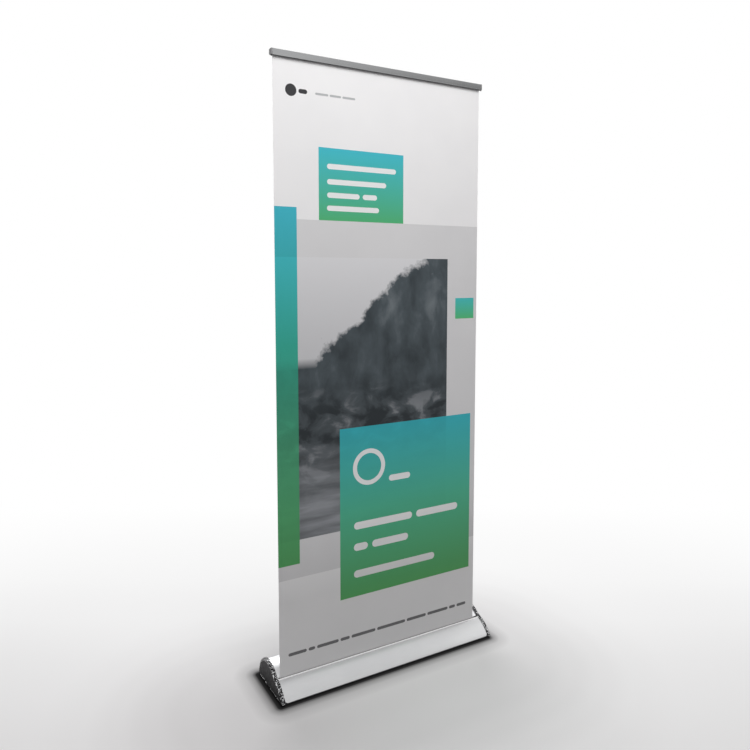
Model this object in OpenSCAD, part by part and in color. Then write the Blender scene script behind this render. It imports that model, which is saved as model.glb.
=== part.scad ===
// Roll-up banner stand.
// A wide floor casing holds a spring roller. The banner comes up through a slot in the
// casing and is held by a clamp rail, which hooks on a telescopic pole behind the banner.
// X runs along the casing, Y towards the back, Z up. The origin is on the floor, under the
// middle of the casing.

/* [Banner] */
// Width of the banner
banner_w = 800; // [700:10:850]
// Height of the banner between the slot and the rail
banner_h = 2000; // [1800:10:2100]
// Thickness of the banner film
film_t = 0.4; // [0.3:0.1:0.5]
// Distance from the middle of the casing to the middle of the banner, towards the idle end
banner_shift = 8; // [6:1:9]

/* [Casing] */
// Height of the slot above the floor
slot_z = 57; // [56:1:58]
// Thickness of the sheet of the front fascia and the rear cover
skin_t = 2; // [1.6:0.1:2.2]
// How far the front fascia bulges out of its own chord
fascia_bulge = 7; // [5:0.5:9]
// Radius of the rounded lower corners of the fascia
fascia_corner_r = 10; // [6:1:14]
// Radius of the hump of the rear cover
hump_r = 77; // [75:1:78]
// Thickness of each end cap
cap_t = 12.5; // [11:0.5:14]
// How far the end caps stand proud of the casing
cap_lip = 3.5; // [2:0.5:4]
// Thickness of the rubber feet
foot_h = 4; // [4:0.5:5]

/* [Roller] */
// Outer radius of the roller tube
tube_r = 16; // [15.5:0.1:16]
// Outer radius of the turns of film that stay on the roller
wound_r = 17.6; // [17:0.1:17.6]

/* [Pole] */
// Outer radius of the lowest pole section
pole_r = 11; // [10.8:0.1:11.2]
// Gap between the pole and its socket, on the radius
pole_gap = 0.05; // [0.02:0.01:0.1]
// How far one section rests inside the next when the pole is drawn out
pole_lap = 70; // [60:5:80]

/* [Rail] */
// Height of the clamp rail
rail_h = 20; // [20:1:22]
// Thickness of the rail's end caps
rail_cap_t = 5; // [4:0.5:6]

/* [Hidden] */
$fn = 96;

bx = -banner_shift;                    // middle of the banner
half = banner_w / 2 + 15.5;            // half length of the casing between the caps
out = half + cap_t;                    // outer face of a cap
plate_t = 2.5;                         // thickness of the end plates
in = half - plate_t;                   // inner face of an end plate
rail_half = banner_w / 2 + 7;          // half length of the rail with its caps
prof_half = rail_half - rail_cap_t;    // half length of the rail's extrusions
zr = slot_z + banner_h;                // underside of the rail

// The cross-section is drawn in [y, z], with y measured from the banner's plane.
F0 = [-66, 6.5];                       // lower outer edge of the fascia
F1 = [-2.4, slot_z - 0.5];             // upper outer edge of the fascia
f_chord = norm(F1 - F0);
f_r = f_chord * f_chord / (8 * fascia_bulge) + fascia_bulge / 2;
f_out = [F0[1] - F1[1], F1[0] - F0[0]] / f_chord;
f_c = (F0 + F1) / 2 - (f_r - fascia_bulge) * f_out;
S1 = [2.4, slot_z + 1];                // lip of the rear cover at the slot
hump_c = [66.5, 8];
s_len = norm(hump_c - S1);
s_ang = atan2(hump_c[1] - S1[1], hump_c[0] - S1[0]) + asin(hump_r / s_len);
s_dir = [cos(s_ang), sin(s_ang)];
s_out = [-sin(s_ang), cos(s_ang)];
S2 = hump_c + hump_r * s_out;          // where the slope runs into the hump
y_front = F0[0] - cap_lip;
y_rear = hump_c[0] + hump_r + cap_lip;
yb = -(y_front + y_rear) / 2;          // plane of the banner in the part's frame

roll_y = film_t / 2 + 0.4 + 17.6;      // roller's axis behind the banner
roll_z = 34;
tube_half = banner_w / 2 + 0.4;

pole_y = 58;                           // foot of the pole behind the banner
pole_z = 10;
head_y = 18.8;                         // pole's axis behind the banner, at the rail
rz = rail_h - 26;                      // lowers the hinge bead and the channel with the rail
aim_len = norm([pole_y - head_y, zr + 16 - pole_z]);
pole_len = aim_len + rz;
lean = atan2(pole_y - head_y, zr + 16 - pole_z);
s1 = round(0.355 * aim_len);          // top of the lower section
s2 = round(0.68 * aim_len);           // top of the middle section
mid_r = pole_r - 2;
up_r = mid_r - 1.8;

// Lays each [y, z] outline along X from x0 to x1.
module along(x0, x1) {
  for (i = [0 : $children - 1])
    translate([x0, yb, 0]) rotate([90, 0, 90]) linear_extrude(x1 - x0) children(i);
}
// Round bar along X.
module bar(x0, x1, r, y, z) {
  translate([x0, yb + y, z]) rotate([0, 90, 0]) cylinder(r = r, h = x1 - x0);
}
module roller_bar(x0, x1, r) { bar(x0, x1, r, roll_y, roll_z); }
// Places a piece on the pole's leaning axis.
module on_pole() { translate([bx, yb + pole_y, pole_z]) rotate([lean, 0, 0]) children(); }
module tube(s0, s1, ro, ri) {
  translate([0, 0, s0]) difference() {
    cylinder(r = ro, h = s1 - s0);
    translate([0, 0, -1]) cylinder(r = ri, h = s1 - s0 + 2);
  }
}
// Filled casing under the fascia from x0 to x1, grown by o, above z = zb.
module front(x0, x1, o, zb) {
  along(x0, x1) intersection() {
    translate(f_c) circle(r = f_r + o, $fn = 360);
    polygon([[F0[0] - o, zb], [2, zb], [2, 90], [F0[0] - o, 90]]);
  }
}
// Filled casing under the rear cover; ext lengthens the slope towards the front.
// The slope meets the round hump 0.05 mm inside its tangent.
module hump(x0, x1, o, zb, ext = 0) {
  a = S1 - ext * s_dir + (o - 0.05) * s_out;
  b = S2 + (o - 0.05) * s_out;
  along(x0, x1) {
    intersection() {
      translate(hump_c) rotate(-90) circle(r = hump_r + o, $fn = 360);
      polygon([[14, zb], [220, zb], [220, 120], [14, 120]]);
    }
    polygon([a, b, [b[0], zb], [a[0], zb]]);
  }
}
module side(x0, x1, o, zb) { front(x0, x1, o, zb); hump(x0, x1, o, zb, o < 0 ? 12 : 0); }
// Where the screws of each end sit, in [y, z].
screw_at = [[-30, 16], [52, 48], [118, 24]];

// ---------------------------------------------------------------- casing

module base_tray() color("dimgray") difference() {
  union() {
    along(-half, half) translate([-65, foot_h]) square([208, 2.4]);
    along(-in + 1, in - 1) {
      translate([-53, foot_h + 2]) square([2, 6]);
      translate([-20, foot_h + 2]) square([2, 8]);
      translate([37, foot_h + 2]) square([2, 8]);
      translate([100, foot_h + 2]) square([2, 10]);
      translate([136.5, foot_h + 2]) square([2, 12]);
    }
  }
  for (sx = [-1, 1], sy = [-1, 1])
    translate([bx + 24 * sx, yb + 58 + 13.5 * sy, 0]) cylinder(r = 2.02, h = 12);
}

module front_fascia() color("gainsboro") difference() {
  along(-half + 0.1, half - 0.1) {
    intersection() {
      difference() {
        translate(f_c) circle(r = f_r, $fn = 360);
        translate(f_c) circle(r = f_r - skin_t, $fn = 360);
      }
      polygon([[-80, F0[1]], [F1[0], F0[1]], [F1[0], 90], [-80, 90]]);
    }
    translate([F1[0] - 1.2, slot_z - 9]) square([1.2, 7.5]);
    translate([F0[0] + 1.2, F0[1]]) square([9, 1.2]);
  }
  for (s = [-1, 1]) translate([s * (half - 0.1), 0, 0]) mirror([s < 0 ? 1 : 0, 0, 0])
    translate([0, yb - 80, F0[1]]) rotate([-90, 0, 0]) mirror([0, 1, 0]) linear_extrude(60)
      difference() {
        translate([-fascia_corner_r, -1]) square([fascia_corner_r + 1, fascia_corner_r + 1]);
        translate([-fascia_corner_r, fascia_corner_r]) circle(r = fascia_corner_r);
      }
}

module rear_cover() color("gainsboro") difference() {
  union() {
    difference() {
      hump(-half + 0.1, half - 0.1, 0, foot_h + 2.8);
      hump(-half, half, -skin_t, 0, 20);
    }
    along(-half + 0.1, half - 0.1)
      translate([S1[0] + 0.05, slot_z - 8]) square([1.2, 7.8]);
  }
  on_pole() translate([0, 0, 50]) cylinder(r = pole_r + 1.4, h = 40);
}

module slot_lining() color("black")
  for (s = [-1, 1]) along(bx - banner_w / 2 - 3, bx + banner_w / 2 + 3)
    translate([s * 1.5 - 0.9, slot_z - 8]) square([1.8, 7.2]);

module end_plate(s) {
  x0 = s > 0 ? in : -half;
  difference() {
    side(x0, x0 + plate_t, -2.7, foot_h + 2.5);
    along(x0 - 1, x0 + plate_t + 1) {
      translate([-9, slot_z - 12]) square([18, 40]);
      translate([-70, 0]) square([19, 14]);
      translate([134, 0]) square([20, 20]);
    }
    roller_bar(x0 - 1, x0 + 4, s > 0 ? 5.02 : 4.02);
    for (p = screw_at) bar(x0 - 1, x0 + 4, 2.02, p[0], p[1]);
  }
}
module end_plate_left() color("slategray") end_plate(-1);
module end_plate_right() color("slategray") end_plate(1);

module end_cap(s) {
  // drawn for the right end, and mirrored in X for the left
  mirror([s < 0 ? 1 : 0, 0, 0]) difference() {
    union() {
      side(half, half + 7, cap_lip, 1);
      hull() {
        front(half + 6, half + 7.1, cap_lip - 0.2, 1.2);
        front(out - 0.1, out, -3, 1.2);
      }
      hull() {
        hump(half + 6, half + 7.1, cap_lip - 0.2, 1.2);
        hump(out - 0.1, out, -3, 1.2, 6);
      }
    }
    side(half - 1, half + 5, -2, 6);
    side(out - 2.6, out + 1, -6, 7);
    for (p = screw_at) {
      bar(half, out, 2.02, p[0], p[1]);
      bar(out - 5, out, 3.9, p[0], p[1]);
    }
  }
}
module end_cap_left() color("silver") end_cap(-1);
module end_cap_right() color("silver") end_cap(1);

module end_inlay(s) {
  mirror([s < 0 ? 1 : 0, 0, 0])
    side(out - 2.5, out - 0.3, -6.3, 7.3);
}
module end_inlay_left() color([0.16, 0.16, 0.17]) end_inlay(-1);
module end_inlay_right() color([0.16, 0.16, 0.17]) end_inlay(1);

module end_cap_screws() color("dimgray")
  for (s = [0, 1], p = screw_at) mirror([s, 0, 0]) {
    bar(in, out - 4.9, 2, p[0], p[1]);
    bar(out - 5, out - 2.8, 3.8, p[0], p[1]);
  }

module rubber_feet() color([0.1, 0.1, 0.1])
  for (sx = [-1, 1], y = [-78, 78]) translate([sx * 330, y, 0])
    rotate_extrude() polygon([[0, 0], [14, 0], [15, 1], [15, foot_h], [0, foot_h]]);

module pole_socket() color("dimgray") difference() {
  union() {
    translate([bx - 30, yb + 41, foot_h + 2.4]) cube([60, 34, 3]);
    on_pole() translate([0, 0, -1.5]) cylinder(r = pole_r + 3, h = 54);
  }
  on_pole() cylinder(r = pole_r + pole_gap, h = 60);
  for (sx = [-1, 1], sy = [-1, 1])
    translate([bx + 24 * sx, yb + 58 + 13.5 * sy, 0]) cylinder(r = 2.05, h = 12);
}

module socket_screws() color("silver")
  for (sx = [-1, 1], sy = [-1, 1]) translate([bx + 24 * sx, yb + 58 + 13.5 * sy, 0]) {
    translate([0, 0, foot_h + 0.4]) cylinder(r = 2, h = 5.2);
    translate([0, 0, foot_h + 5.4]) cylinder(r = 3.4, h = 2);
  }

module pole_bezel() color([0.12, 0.12, 0.12]) difference() {
  union() {
    intersection() {
      along(bx - 20, bx + 20) difference() {
        translate(hump_c) circle(r = hump_r + 1.6, $fn = 360);
        translate(hump_c) circle(r = hump_r + 0.05, $fn = 360);
      }
      on_pole() translate([0, 0, 50]) cylinder(r = pole_r + 5, h = 60);
    }
    on_pole() translate([0, 0, 64]) cylinder(r = pole_r + 1.3, h = 11.6);
  }
  on_pole() translate([0, 0, 50]) cylinder(r = pole_r + 0.4, h = 60);
}

// ---------------------------------------------------------------- roller

module idle_axle() color("silver") {
  roller_bar(-half - 0.01, bx - tube_half + 28, 4);
  roller_bar(-half - 4, -half, 7);
}
module spring_shaft() color("silver") {
  roller_bar(100, half + 0.01, 5);
  roller_bar(half, half + 4, 8);
}
module spring_collar() color("dimgray") difference() {
  roller_bar(330, 342, 9);
  roller_bar(329, 343, 5.02);
}
// Coil of the torsion spring, from the collar to the anchor.
module torsion_spring() color("gray") {
  turns = 22; seg = 10; sides = 6; wire = 1.2; coil = 9; x0 = 120.5; x1 = 328.5;
  n = turns * seg;
  pts = [for (i = [0 : n], j = [0 : sides - 1])
    let (a = 360 * i / seg, b = 360 * j / sides, r = coil + wire * cos(b))
      [x0 + (x1 - x0) * i / n + wire * sin(b), yb + roll_y + r * cos(a), roll_z + r * sin(a)]];
  faces = concat(
    [[for (j = [0 : sides - 1]) j]],
    [for (i = [0 : n - 1], j = [0 : sides - 1])
      [i * sides + j, (i + 1) * sides + j, (i + 1) * sides + (j + 1) % sides]],
    [for (i = [0 : n - 1], j = [0 : sides - 1])
      [i * sides + j, (i + 1) * sides + (j + 1) % sides, i * sides + (j + 1) % sides]],
    [[for (j = [sides - 1 : -1 : 0]) n * sides + j]]);
  polyhedron(points = pts, faces = faces, convexity = 20);
}
module roller_tube() color("lightgray") difference() {
  roller_bar(bx - tube_half, bx + tube_half, tube_r);
  roller_bar(bx - tube_half - 1, bx + tube_half + 1, tube_r - 1.4);
}
module roller_plug(s, r_in) difference() {
  union() {
    if (s < 0) {
      roller_bar(bx - tube_half, bx - tube_half + 28, tube_r - 1.42);
      roller_bar(bx - tube_half - 2, bx - tube_half, 17.4);
    } else {
      roller_bar(bx + tube_half - 28, bx + tube_half, tube_r - 1.42);
      roller_bar(bx + tube_half, bx + tube_half + 2, 17.4);
    }
  }
  roller_bar(-half, half, r_in);
}
module roller_plug_left() color([0.2, 0.2, 0.2]) roller_plug(-1, 6.5);
module roller_plug_right() color([0.2, 0.2, 0.2]) roller_plug(1, 7.5);
module roller_bush_left() color("burlywood") difference() {
  roller_bar(bx - tube_half - 2, bx - tube_half + 27, 6.48);
  roller_bar(-half, 0, 4.05);
}
module roller_bush_right() color("burlywood") difference() {
  roller_bar(bx + tube_half - 27, bx + tube_half + 2, 7.48);
  roller_bar(0, half, 5.05);
}
module spring_anchor() color([0.2, 0.2, 0.2]) difference() {
  roller_bar(106, 118, tube_r - 1.42);
  roller_bar(105, 119, 5.05);
}
module graphic_roll() color("whitesmoke") difference() {
  roller_bar(bx - banner_w / 2, bx + banner_w / 2, wound_r);
  roller_bar(bx - banner_w / 2 - 1, bx + banner_w / 2 + 1, tube_r + 0.03);
}

// ---------------------------------------------------------------- banner and rail

module banner_sheet() color("whitesmoke")
  translate([bx - banner_w / 2, yb - film_t / 2, roll_z])
    cube([banner_w, film_t, zr + 12 - roll_z]);

module rail_back() color("darkgray")
  translate([0, 0, zr]) along(bx - prof_half, bx + prof_half) {
    translate([0.5, 0]) square([1.9, rail_h]);
    translate([0.5, rail_h - 1.5]) square([9.5, 1.5]);
    translate([2, 20 + rz]) square([8, 1.5]);
    translate([2, 10.5 + rz]) square([8, 1.5]);
    translate([8.6, 18.15 + rz]) square([1.4, 7.85]);
    translate([8.6, 10.5 + rz]) square([1.4, 2.9]);
    translate([-5.5, 21.4 + rz]) square([7, 1.2]);
    translate([-5.5, 22 + rz]) circle(r = 1.6);
  }

module rail_jaw() color("darkgray")
  translate([0, 0, zr]) along(bx - prof_half + 0.3, bx + prof_half - 0.3) {
    translate([-10, 0]) square([1.7, rail_h]);
    translate([-10, rail_h - 1.4]) square([7, 1.4]);
    difference() {
      translate([-5.5, 22 + rz]) circle(r = 3.3);
      translate([-5.5, 22 + rz]) circle(r = 1.65);
      translate([-5.5, 22 + rz]) polygon([[0, 0], [8 * cos(-30), 8 * sin(-30)], [9.5, 0],
        [8 * cos(60), 8 * sin(60)]]);
    }
    translate([-9, 0]) square([7.1, 1.8]);
    translate([-3.2, 0]) square([1.3, 5.5]);
  }

module rail_grip_strip() color([0.1, 0.1, 0.1])
  translate([0, 0, zr]) along(bx - prof_half + 0.3, bx + prof_half - 0.3)
    translate([-1.9, 0.6]) square([1.4, 4.4]);

module rail_cap(s)
  translate([0, 0, zr]) along(s > 0 ? bx + prof_half : bx - rail_half,
    s > 0 ? bx + rail_half : bx - prof_half)
    polygon([[-10.2, -0.2], [2.8, -0.2], [10.2, 4.4], [10.2, rail_h + 0.2],
      [-10.2, rail_h + 0.2]]);
module rail_cap_left() color("gray") rail_cap(-1);
module rail_cap_right() color("gray") rail_cap(1);

module rail_bumpers() color([0.08, 0.08, 0.08])
  for (s = [-1, 1]) translate([bx + s * (rail_half - 2.5), yb - 6, zr - 3.4])
    cylinder(r1 = 1.6, r2 = 2, h = 3.2, $fn = 48);

// ---------------------------------------------------------------- pole

module pole_lower() color("silver") on_pole() tube(4, s1, pole_r, pole_r - 1.4);
module pole_foot_plug() color([0.12, 0.12, 0.12]) on_pole() {
  cylinder(r = pole_r - 0.1, h = 4);
  translate([0, 0, 3]) cylinder(r = pole_r - 1.43, h = 23);
}
module pole_middle() color("silver")
  on_pole() tube(s1 - pole_lap, s2, mid_r, mid_r - 1.2);
module glide_bush_middle() color([0.85, 0.85, 0.8])
  on_pole() tube(s1 - pole_lap, s1 - pole_lap + 20, pole_r - 1.45, mid_r + 0.02);
module pole_upper() color("silver")
  on_pole() tube(s2 - pole_lap, pole_len - 22, up_r, up_r - 1.2);
module glide_bush_upper() color([0.85, 0.85, 0.8])
  on_pole() tube(s2 - pole_lap, s2 - pole_lap + 20, mid_r - 1.25, up_r + 0.02);

// Twist-lock collar: turns on the tube below it and grips the tube above it.
module lock_collar(s, r_low, r_high, ro) {
  on_pole() translate([0, 0, s]) difference() {
    rotate_extrude() polygon([[2, -34], [ro - 1.5, -34], [ro, -32.5], [ro, 14],
      [ro - 3, 26], [2, 26]]);
    translate([0, 0, -35]) cylinder(r = r_low + 0.05, h = 35.5);
    translate([0, 0, -1]) cylinder(r = r_high + 0.05, h = 30);
    for (i = [0 : 11]) rotate(i * 30) translate([ro + 0.9, 0, -28]) cylinder(r = 1.6, h = 36, $fn = 24);
  }
}
module lock_collar_lower() color([0.12, 0.12, 0.12]) lock_collar(s1, pole_r, mid_r, pole_r + 4);
module lock_collar_upper() color([0.12, 0.12, 0.12]) lock_collar(s2, mid_r, up_r, mid_r + 4);

module pole_head() color([0.12, 0.12, 0.12]) {
  on_pole() {
    translate([0, 0, pole_len - 22]) cylinder(r = up_r + 0.7, h = 26);
    translate([0, 0, pole_len - 44]) cylinder(r = up_r - 1.23, h = 23);
  }
  translate([bx - 12, yb + 3.8, zr + 14 + rz]) cube([24, head_y - 3.8, 4]);
}

base_tray();
front_fascia();
rear_cover();
slot_lining();
end_plate_left();
end_plate_right();
end_cap_left();
end_cap_right();
end_inlay_left();
end_inlay_right();
end_cap_screws();
rubber_feet();
pole_socket();
socket_screws();
pole_bezel();
idle_axle();
spring_shaft();
spring_collar();
torsion_spring();
roller_tube();
roller_plug_left();
roller_plug_right();
roller_bush_left();
roller_bush_right();
spring_anchor();
graphic_roll();
banner_sheet();
rail_back();
rail_cap_left();
rail_cap_right();
rail_bumpers();
rail_jaw();
rail_grip_strip();
pole_lower();
pole_foot_plug();
lock_collar_lower();
pole_middle();
glide_bush_middle();
lock_collar_upper();
pole_upper();
glide_bush_upper();
pole_head();
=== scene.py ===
import math

import bmesh
import bpy
from mathutils import Matrix, Vector, noise


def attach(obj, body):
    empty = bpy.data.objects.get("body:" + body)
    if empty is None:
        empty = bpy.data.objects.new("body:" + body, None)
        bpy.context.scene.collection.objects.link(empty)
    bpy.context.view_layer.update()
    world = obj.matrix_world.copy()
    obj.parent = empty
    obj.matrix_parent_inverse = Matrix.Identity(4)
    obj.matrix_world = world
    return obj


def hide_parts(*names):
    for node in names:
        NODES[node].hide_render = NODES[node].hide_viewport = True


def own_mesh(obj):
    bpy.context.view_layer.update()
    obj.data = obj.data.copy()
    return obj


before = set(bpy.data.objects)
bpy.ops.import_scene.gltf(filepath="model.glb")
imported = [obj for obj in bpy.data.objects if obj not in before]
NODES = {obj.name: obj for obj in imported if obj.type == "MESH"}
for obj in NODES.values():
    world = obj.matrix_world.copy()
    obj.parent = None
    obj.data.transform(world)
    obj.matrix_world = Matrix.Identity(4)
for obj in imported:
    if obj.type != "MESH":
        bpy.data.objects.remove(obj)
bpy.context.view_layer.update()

MM = 0.001

# The same numbers as the CAD source, in millimetres. Outlines are (y, z), y from the banner's plane.
YB = -38.75
BX = -8.0
BANNER = 800.0
HALF = BANNER / 2 + 15.5
OUT = HALF + 12.5
LIP = 3.5
SLOT_Z = 57.0
F0, F1 = Vector((-66, 6.5)), Vector((-2.4, SLOT_Z - 0.5))
BULGE = 7.0
CHORD = (F1 - F0).length
F_R = CHORD * CHORD / (8 * BULGE) + BULGE / 2
F_OUT = Vector((F0.y - F1.y, F1.x - F0.x)) / CHORD
F_C = (F0 + F1) / 2 - (F_R - BULGE) * F_OUT
S1 = Vector((2.4, SLOT_Z + 1))
HUMP_C, HUMP_R = Vector((66.5, 8)), 77.0
_d = HUMP_C - S1
S_ANG = math.atan2(_d.y, _d.x) + math.asin(HUMP_R / _d.length)
S_DIR = Vector((math.cos(S_ANG), math.sin(S_ANG)))
S_OUT = Vector((-S_DIR.y, S_DIR.x))
ROLL_Y, ROLL_Z = 18.2, 34.0
ZR = SLOT_Z + 2000
POLE_Y, POLE_Z, HEAD_Y = 58.0, 10.0, 18.8
LEAN = math.atan2(POLE_Y - HEAD_Y, ZR + 16 - POLE_Z)
RAIL_H = 20.0
RZ = RAIL_H - 26.0
AIM_LEN = math.hypot(POLE_Y - HEAD_Y, ZR + 16 - POLE_Z)
POLE_LEN = AIM_LEN + RZ
POLE_AX = Vector((0, -math.sin(LEAN), math.cos(LEAN)))
POLE_O = Vector((BX, YB + POLE_Y, POLE_Z))
J1, J2 = round(0.355 * AIM_LEN), round(0.68 * AIM_LEN)


# ------------------------------------------------------------------ node helpers

class Tree:
    """Small helper to write a material's nodes."""

    def __init__(self, name):
        self.mat = bpy.data.materials.new(name)
        self.mat.use_nodes = True
        self.nt = self.mat.node_tree
        self.nt.nodes.clear()
        self.out = self.node("ShaderNodeOutputMaterial")

    def node(self, kind, **props):
        n = self.nt.nodes.new(kind)
        for k, v in props.items():
            setattr(n, k, v)
        return n

    def put(self, socket, value):
        if isinstance(value, bpy.types.NodeSocket):
            self.nt.links.new(value, socket)
        else:
            socket.default_value = value

    def math(self, op, a, b=None, c=None, clamp=False):
        n = self.node("ShaderNodeMath", operation=op, use_clamp=clamp)
        for i, v in enumerate((a, b, c)):
            if v is not None:
                self.put(n.inputs[i], v)
        return n.outputs[0]

    def coords(self, scale=(1, 1, 1), rot=(0, 0, 0), loc=(0, 0, 0)):
        tc = self.node("ShaderNodeTexCoord")
        m = self.node("ShaderNodeMapping")
        self.nt.links.new(tc.outputs["Object"], m.inputs["Vector"])
        m.inputs["Scale"].default_value = scale
        m.inputs["Rotation"].default_value = rot
        m.inputs["Location"].default_value = loc
        return m.outputs[0]

    def noise(self, vec, scale, detail=3.0, rough=0.5, dist=0.0):
        n = self.node("ShaderNodeTexNoise")
        self.put(n.inputs["Vector"], vec)
        n.inputs["Scale"].default_value = scale
        n.inputs["Detail"].default_value = detail
        n.inputs["Roughness"].default_value = rough
        n.inputs["Distortion"].default_value = dist
        return n.outputs["Fac"]

    def ramp(self, fac, stops, mode="LINEAR"):
        n = self.node("ShaderNodeValToRGB")
        n.color_ramp.interpolation = mode
        e = n.color_ramp.elements
        while len(e) < len(stops):
            e.new(0.5)
        for el, (p, c) in zip(e, stops):
            el.position = p
            el.color = (c[0], c[1], c[2], 1) if hasattr(c, "__len__") else (c, c, c, 1)
        self.put(n.inputs[0], fac)
        return n.outputs[0]

    def mix(self, fac, a, b, blend="MIX"):
        n = self.node("ShaderNodeMix", data_type="RGBA", blend_type=blend)
        self.put(n.inputs[0], fac)
        for sock, v in ((n.inputs[6], a), (n.inputs[7], b)):
            self.put(sock, (*v, 1) if isinstance(v, tuple) and len(v) == 3 else v)
        return n.outputs[2]

    def bump(self, height, strength, distance, normal=None):
        n = self.node("ShaderNodeBump")
        n.inputs["Strength"].default_value = strength
        n.inputs["Distance"].default_value = distance
        self.put(n.inputs["Height"], height)
        if normal is not None:
            self.put(n.inputs["Normal"], normal)
        return n.outputs[0]

    def principled(self, **values):
        n = self.node("ShaderNodeBsdfPrincipled")
        for k, v in values.items():
            key = k.replace("_", " ")
            self.put(n.inputs[key], (*v, 1) if isinstance(v, tuple) and len(v) == 3 else v)
        self.nt.links.new(n.outputs[0], self.out.inputs[0])
        return n


def brushed(name, low, high, rough=(0.24, 0.36), along="X", coat=0.0, bump=0.12, metallic=1.0, wear=0.35,
            under=None, lip=None):
    """Anodised or brushed metal, with drawn lines along one axis and faint handling marks. under paints shade onto
    faces that look down; lip paints a white highlight band above that height.
    """
    t = Tree(name)
    stretch = {"X": (0.012, 1, 1), "Z": (1, 1, 0.012), "N": (1, 1, 1)}[along]
    fine = t.noise(t.coords(scale=stretch), 2600 if along != "N" else 900, 3.0, 0.6)
    broad = t.noise(t.coords(scale=(1, 1, 1)), 9, 3.0, 0.55)
    marks = t.noise(t.coords(scale=(1, 1, 1)), 60, 6.0, 0.7, 0.6)
    both = t.math("ADD", t.math("MULTIPLY", fine, 0.6), t.math("MULTIPLY", broad, 0.4))
    colour = t.ramp(both, [(0.3, low), (0.7, high)])
    r = t.math("ADD", t.math("MULTIPLY", both, rough[1] - rough[0]), rough[0])
    smear = t.math("MULTIPLY", t.math("SUBTRACT", marks, 0.56, clamp=True), wear)
    r = t.math("ADD", r, smear)
    nrm = t.bump(fine, bump, 0.00004)
    # Painted shade: faces that look down are darkened towards black; under is the share of the colour that stays.
    if under is not None:
        geo, sep = t.node("ShaderNodeNewGeometry"), t.node("ShaderNodeSeparateXYZ")
        t.nt.links.new(geo.outputs["True Normal"], sep.inputs[0])
        down = t.math("MULTIPLY_ADD", sep.outputs[2], -4.0, -2.4, clamp=True)
        colour = t.mix(t.math("MULTIPLY", down, 1.0 - under), colour, (0.0, 0.0, 0.0))
    if lip is not None:
        # Painted highlight: above the height lip the colour turns white and the metal turns non-metallic, giving a
        # bright line along the fascia's top lip.
        tc, sep = t.node("ShaderNodeTexCoord"), t.node("ShaderNodeSeparateXYZ")
        t.nt.links.new(tc.outputs["Object"], sep.inputs[0])
        lip_highlight = t.math("MULTIPLY_ADD", t.math("SUBTRACT", sep.outputs[2], lip), 2000.0, 0.5, clamp=True)
        colour = t.mix(lip_highlight, colour, (0.97, 0.97, 0.97))
        metallic = t.math("MULTIPLY_ADD", lip_highlight, -metallic, metallic)
    t.principled(Base_Color=colour, Metallic=metallic, Roughness=r, Normal=nrm,
                 Coat_Weight=coat, Coat_Roughness=0.06)
    return t.mat


def moulded(name, low, high, rough=(0.45, 0.6), grain=900, depth=0.00008, strength=0.35, metallic=0.0,
            specular=0.5):
    """Moulded plastic or rubber with a fine grain and slightly worn gloss."""
    t = Tree(name)
    v = t.node("ShaderNodeTexVoronoi", feature="F1")
    t.put(v.inputs["Vector"], t.coords())
    v.inputs["Scale"].default_value = grain
    cloud = t.noise(t.coords(), 35, 4.0, 0.6)
    speck = t.noise(t.coords(), grain * 0.8, 2.0, 0.6)
    tone = t.math("ADD", t.math("MULTIPLY", cloud, 0.5), t.math("MULTIPLY", speck, 0.5))
    colour = t.ramp(tone, [(0.32, low), (0.68, high)])
    r = t.math("ADD", t.math("MULTIPLY", cloud, rough[1] - rough[0]), rough[0])
    nrm = t.bump(v.outputs["Distance"], strength, depth)
    t.principled(Base_Color=colour, Metallic=metallic, Roughness=r, Normal=nrm,
                 Specular_IOR_Level=specular)
    return t.mat


# ------------------------------------------------------------------ the printed film

TEAL, GREEN = (0.045, 0.42, 0.50), (0.075, 0.36, 0.12)
TEAL2, GREEN2 = (0.020, 0.345, 0.40), (0.080, 0.34, 0.090)


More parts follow.
